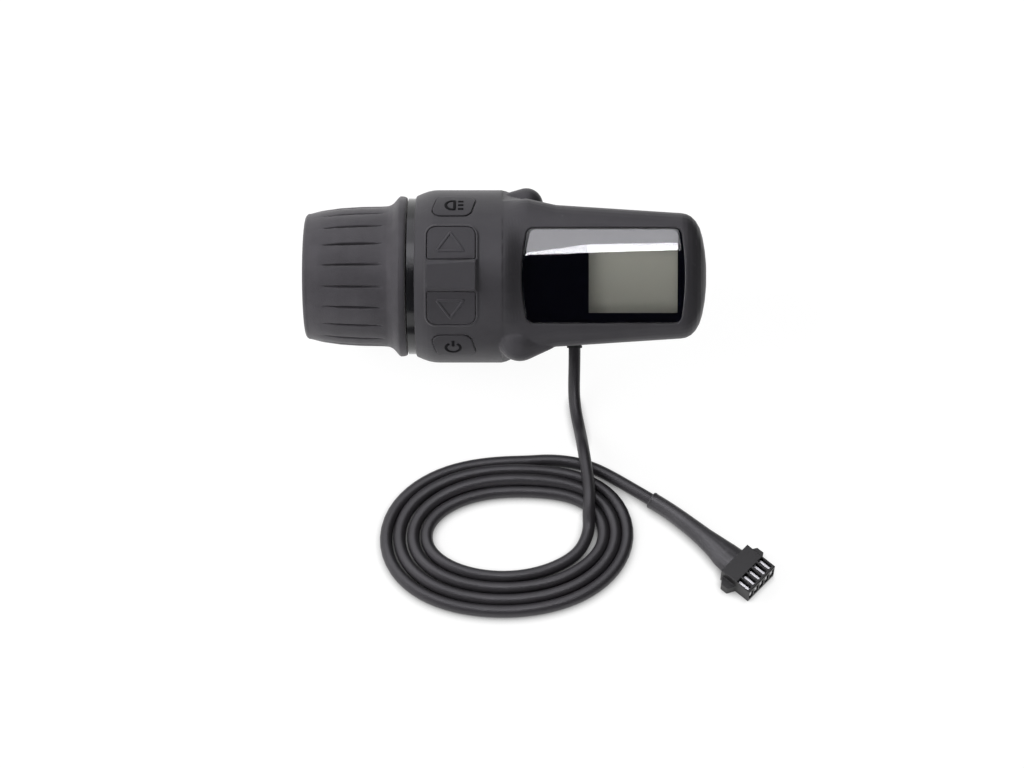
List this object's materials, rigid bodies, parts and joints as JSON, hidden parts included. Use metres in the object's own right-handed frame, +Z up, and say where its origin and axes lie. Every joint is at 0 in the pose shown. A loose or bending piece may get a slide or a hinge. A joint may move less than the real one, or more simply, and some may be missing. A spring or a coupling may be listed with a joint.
{
  "type": "e-bike display with twist throttle",
  "caption": "Bar-mounted e-bike display unit with a half-length twist throttle, four keys, a split handlebar clamp and a coiled signal cable with a small connector.",
  "frame": {"origin": "centre of the handlebar clamp bore, on the bar axis", "axes": "+X along the handlebar from the grip to the display end, +Z up with the unit lying on a table, -Y towards the rider; the display faces up and towards -Y"},
  "size_m": [0.149, 0.1403, 0.0573],
  "materials": {
    "case": "fine moulded grain, matte",
    "case_back": "fine moulded grain, matte",
    "gloss_ring": "polished black",
    "screws": "black zinc plated",
    "bush": "natural acetal",
    "inner_plastic": "glass-filled nylon",
    "spring_steel": "drawn wire",
    "circuit_board": "green solder mask",
    "chip": "moulded package",
    "lens": "hard-coated, black border print",
    "gasket": "matte",
    "lcd": "grey-green reflective liquid crystal",
    "backlight": "white light guide",
    "insert": "turned",
    "gland": "matte",
    "cable": "satin jacket",
    "shrink": "shrunk sleeve, satin",
    "connector": "moulded nylon",
    "terminals": "tinned",
    "grip_rubber": "fine grain, matte",
    "magnet": "nickel plated",
    "key": "matte",
    "plunger": "moulded"
  },
  "bodies": {
    "housing": {"front_housing": "case", "rear_clamp": "case_back", "display_cover": "case_back", "neck_ring": "gloss_ring", "neck_screws": "screws", "bearing_bush": "bush", "bar_sleeve": "inner_plastic", "return_spring": "spring_steel", "hall_board": "circuit_board", "hall_sensor": "chip", "switch_carrier": "inner_plastic", "switch_board": "circuit_board", "switch_bodies": "chip", "display_lens": "lens", "lens_gasket": "gasket", "lcd_panel": "lcd", "lcd_frame": "inner_plastic", "backlight": "backlight", "main_board": "circuit_board", "board_chips": "chip", "board_screws": "screws", "cover_screws": "screws", "clamp_screws": "screws", "clamp_inserts": "insert", "cable_gland": "gland", "cable_lead": "cable", "cable_coil": "cable", "cable_tail": "cable", "shrink_sleeve": "shrink", "connector_housing": "connector", "connector_pins": "terminals"},
    "throttle": {"throttle_tube": "inner_plastic", "grip_sleeve": "grip_rubber", "sensor_magnet": "magnet"},
    "lamp_button": {"lamp_key": "key", "lamp_plunger": "plunger"},
    "up_button": {"up_key": "key", "up_plunger": "plunger"},
    "down_button": {"down_key": "key", "down_plunger": "plunger"},
    "power_button": {"power_key": "key", "power_plunger": "plunger"}
  },
  "joints": [
    {"name": "grip_twist", "type": "hinge", "parent": "housing", "child": "throttle", "pos_m": [-0.057, 0, 0], "axis": [1, 0, 0], "range_deg": [0, 70], "stiffness_Nm_per_rad": 0.15, "springref_deg": -20.05},
    {"name": "lamp_press", "type": "slide", "parent": "housing", "child": "lamp_button", "axis": [0, -0.3239, -0.9461], "range_m": [0, 0.0007], "stiffness_N_per_m": 1500, "springref_m": -0.0008},
    {"name": "up_press", "type": "slide", "parent": "housing", "child": "up_button", "axis": [0, 0.213, -0.977], "range_m": [0, 0.0007], "stiffness_N_per_m": 1500, "springref_m": -0.0008},
    {"name": "down_press", "type": "slide", "parent": "housing", "child": "down_button", "axis": [0, 0.8281, -0.5606], "range_m": [0, 0.0007], "stiffness_N_per_m": 1500, "springref_m": -0.0008},
    {"name": "power_press", "type": "slide", "parent": "housing", "child": "power_button", "axis": [0, 0.9987, -0.0506], "range_m": [0, 0.0007], "stiffness_N_per_m": 1500, "springref_m": -0.0008}
  ]
}
